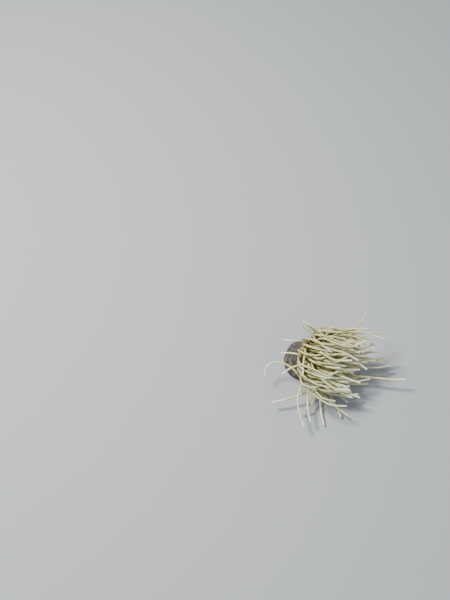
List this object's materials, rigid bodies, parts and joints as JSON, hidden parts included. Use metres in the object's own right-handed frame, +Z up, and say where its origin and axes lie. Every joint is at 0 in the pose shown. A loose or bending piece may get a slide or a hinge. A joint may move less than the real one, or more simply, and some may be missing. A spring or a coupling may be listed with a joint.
{
  "type": "sea anemone",
  "caption": "Life-size still model of a snakelocks sea anemone: flat foot, leaning waisted column, and a dense crown of long tapering tentacles combed to one side by the current.",
  "frame": {"origin": "centre of the foot's flat underside, on the floor", "axes": "+Z up; +X the way the current combs the tentacles, which is also the longest extent; the column leans towards +X and -Y"},
  "size_m": [0.157, 0.1198, 0.0739],
  "materials": {
    "body": "wet satin",
    "disc": "wet satin",
    "tentacles": "wet satin"
  },
  "bodies": {
    "root": {"foot": "body", "column_lower": "body", "column_upper": "body", "collar": "body", "oral_disc": "disc", "mouth": "disc", "crown_sector_01": "tentacles", "crown_sector_02": "tentacles", "crown_sector_03": "tentacles", "crown_sector_04": "tentacles", "crown_sector_05": "tentacles", "crown_sector_06": "tentacles", "crown_sector_07": "tentacles", "crown_sector_08": "tentacles", "crown_sector_09": "tentacles", "crown_sector_10": "tentacles", "crown_sector_11": "tentacles", "crown_sector_12": "tentacles", "loop_tentacle_middle": "tentacles", "loop_tentacle_tip": "tentacles", "trailing_tentacle_middle": "tentacles", "trailing_tentacle_tip": "tentacles", "hooked_tentacle_middle": "tentacles", "hooked_tentacle_tip": "tentacles", "crossing_tentacle_middle": "tentacles", "crossing_tentacle_tip": "tentacles", "hanging_left_tentacle_middle": "tentacles", "hanging_left_tentacle_tip": "tentacles", "hanging_middle_tentacle_middle": "tentacles", "hanging_middle_tentacle_tip": "tentacles", "hanging_right_tentacle_middle": "tentacles", "hanging_right_tentacle_tip": "tentacles", "straight_tentacle_middle": "tentacles", "straight_tentacle_tip": "tentacles", "reaching_tentacle_middle": "tentacles", "reaching_tentacle_tip": "tentacles", "curling_tentacle_middle": "tentacles", "curling_tentacle_tip": "tentacles", "rising_tentacle_middle": "tentacles", "rising_tentacle_tip": "tentacles", "upright_tentacle_middle": "tentacles", "upright_tentacle_tip": "tentacles", "leaning_tentacle_middle": "tentacles", "leaning_tentacle_tip": "tentacles", "bowed_tentacle_middle": "tentacles", "bowed_tentacle_tip": "tentacles", "swept_upper_tentacle_middle": "tentacles", "swept_upper_tentacle_tip": "tentacles", "swept_middle_tentacle_middle": "tentacles", "swept_middle_tentacle_tip": "tentacles", "swept_lower_tentacle_middle": "tentacles", "swept_lower_tentacle_tip": "tentacles", "side_tentacle_middle": "tentacles", "side_tentacle_tip": "tentacles", "upper_tentacle_middle": "tentacles", "upper_tentacle_tip": "tentacles"}
  },
  "joints": []
}
